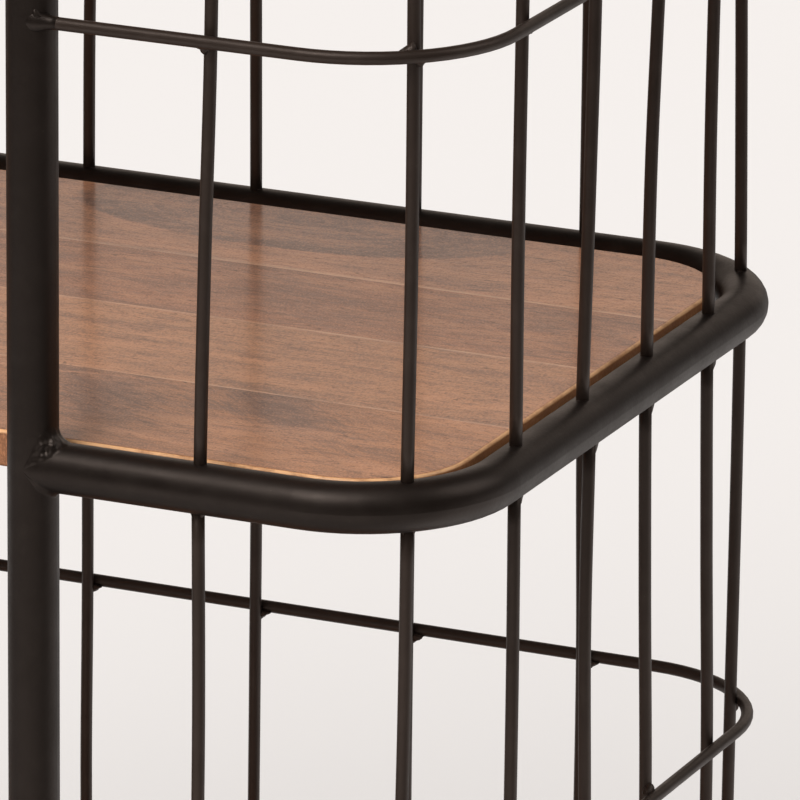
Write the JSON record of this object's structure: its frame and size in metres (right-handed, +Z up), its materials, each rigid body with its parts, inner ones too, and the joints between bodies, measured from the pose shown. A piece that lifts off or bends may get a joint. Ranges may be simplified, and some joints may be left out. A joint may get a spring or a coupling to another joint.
{
  "type": "wire bakery trolley",
  "caption": "Tall wheeled shop trolley with wooden shelves in bent tube rings, wire sides and back, open front between two posts, swivel castors.",
  "frame": {"origin": "on the floor under the middle of the trolley", "axes": "+Z up, the open front faces -Y, and +X is the trolley's width, to the right as seen from the front"},
  "size_m": [1.03, 0.475, 1.5214],
  "materials": {
    "black_paint": "satin black-brown paint over welded steel",
    "lacquered_wood": "gloss lacquer over edge-glued hardwood staves",
    "zinc_hardware": "bright zinc plate",
    "zinc_castor": "zinc plated pressed steel",
    "cast_core": "grey painted cast core",
    "tyre_rubber": "matt black rubber"
  },
  "bodies": {
    "trolley": {"front_post_left": "black_paint", "front_post_right": "black_paint", "post_caps": "black_paint", "shelf_ring_1": "black_paint", "shelf_ring_2": "black_paint", "shelf_ring_3": "black_paint", "shelf_ring_4": "black_paint", "tier_hoop_1": "black_paint", "tier_hoop_2": "black_paint", "tier_hoop_3": "black_paint", "right_wires_1": "black_paint", "right_wires_2": "black_paint", "right_wires_3": "black_paint", "left_wires_1": "black_paint", "left_wires_2": "black_paint", "left_wires_3": "black_paint", "back_wires_1": "black_paint", "back_wires_2": "black_paint", "back_wires_3": "black_paint", "shelf_bearers_1": "black_paint", "shelf_bearers_2": "black_paint", "shelf_bearers_3": "black_paint", "shelf_bearers_4": "black_paint", "shelf_board_1": "lacquered_wood", "shelf_board_2": "lacquered_wood", "shelf_board_3": "lacquered_wood", "shelf_board_4": "lacquered_wood", "shelf_screws": "zinc_hardware", "castor_pad_front_left": "black_paint", "castor_pad_front_right": "black_paint", "castor_pad_back_left": "black_paint", "castor_pad_back_right": "black_paint", "castor_plate_front_left": "zinc_castor", "castor_plate_front_right": "zinc_castor", "castor_plate_back_left": "zinc_castor", "castor_plate_back_right": "zinc_castor", "castor_bolts": "zinc_hardware", "castor_nuts": "zinc_hardware", "castor_kingpin_front_left": "zinc_castor", "castor_kingpin_front_right": "zinc_castor", "castor_kingpin_back_left": "zinc_castor", "castor_kingpin_back_right": "zinc_castor"},
    "swivel_front_left": {"castor_fork_front_left": "zinc_castor", "castor_axle_front_left": "zinc_castor"},
    "wheel_front_left": {"castor_wheel_front_left": "cast_core", "castor_tyre_front_left": "tyre_rubber"},
    "swivel_front_right": {"castor_fork_front_right": "zinc_castor", "castor_axle_front_right": "zinc_castor"},
    "wheel_front_right": {"castor_wheel_front_right": "cast_core", "castor_tyre_front_right": "tyre_rubber"},
    "swivel_back_left": {"castor_fork_back_left": "zinc_castor", "castor_axle_back_left": "zinc_castor"},
    "wheel_back_left": {"castor_wheel_back_left": "cast_core", "castor_tyre_back_left": "tyre_rubber"},
    "swivel_back_right": {"castor_fork_back_right": "zinc_castor", "castor_axle_back_right": "zinc_castor"},
    "wheel_back_right": {"castor_wheel_back_right": "cast_core", "castor_tyre_back_right": "tyre_rubber"}
  },
  "joints": [
    {"name": "castor_swivel_front_left", "type": "hinge", "parent": "trolley", "child": "swivel_front_left", "pos_m": [-0.425, -0.1675, 0.115], "axis": [0, 0, 1], "continuous": true},
    {"name": "wheel_spin_front_left", "type": "hinge", "parent": "swivel_front_left", "child": "wheel_front_left", "pos_m": [-0.46, -0.1675, 0.05], "axis": [0, 1, 0], "continuous": true},
    {"name": "castor_swivel_front_right", "type": "hinge", "parent": "trolley", "child": "swivel_front_right", "pos_m": [0.425, -0.1675, 0.115], "axis": [0, 0, 1], "continuous": true},
    {"name": "wheel_spin_front_right", "type": "hinge", "parent": "swivel_front_right", "child": "wheel_front_right", "pos_m": [0.39, -0.1675, 0.05], "axis": [0, 1, 0], "continuous": true},
    {"name": "castor_swivel_back_left", "type": "hinge", "parent": "trolley", "child": "swivel_back_left", "pos_m": [-0.425, 0.1675, 0.115], "axis": [0, 0, 1], "continuous": true},
    {"name": "wheel_spin_back_left", "type": "hinge", "parent": "swivel_back_left", "child": "wheel_back_left", "pos_m": [-0.46, 0.1675, 0.05], "axis": [0, 1, 0], "continuous": true},
    {"name": "castor_swivel_back_right", "type": "hinge", "parent": "trolley", "child": "swivel_back_right", "pos_m": [0.425, 0.1675, 0.115], "axis": [0, 0, 1], "continuous": true},
    {"name": "wheel_spin_back_right", "type": "hinge", "parent": "swivel_back_right", "child": "wheel_back_right", "pos_m": [0.39, 0.1675, 0.05], "axis": [0, 1, 0], "continuous": true}
  ]
}
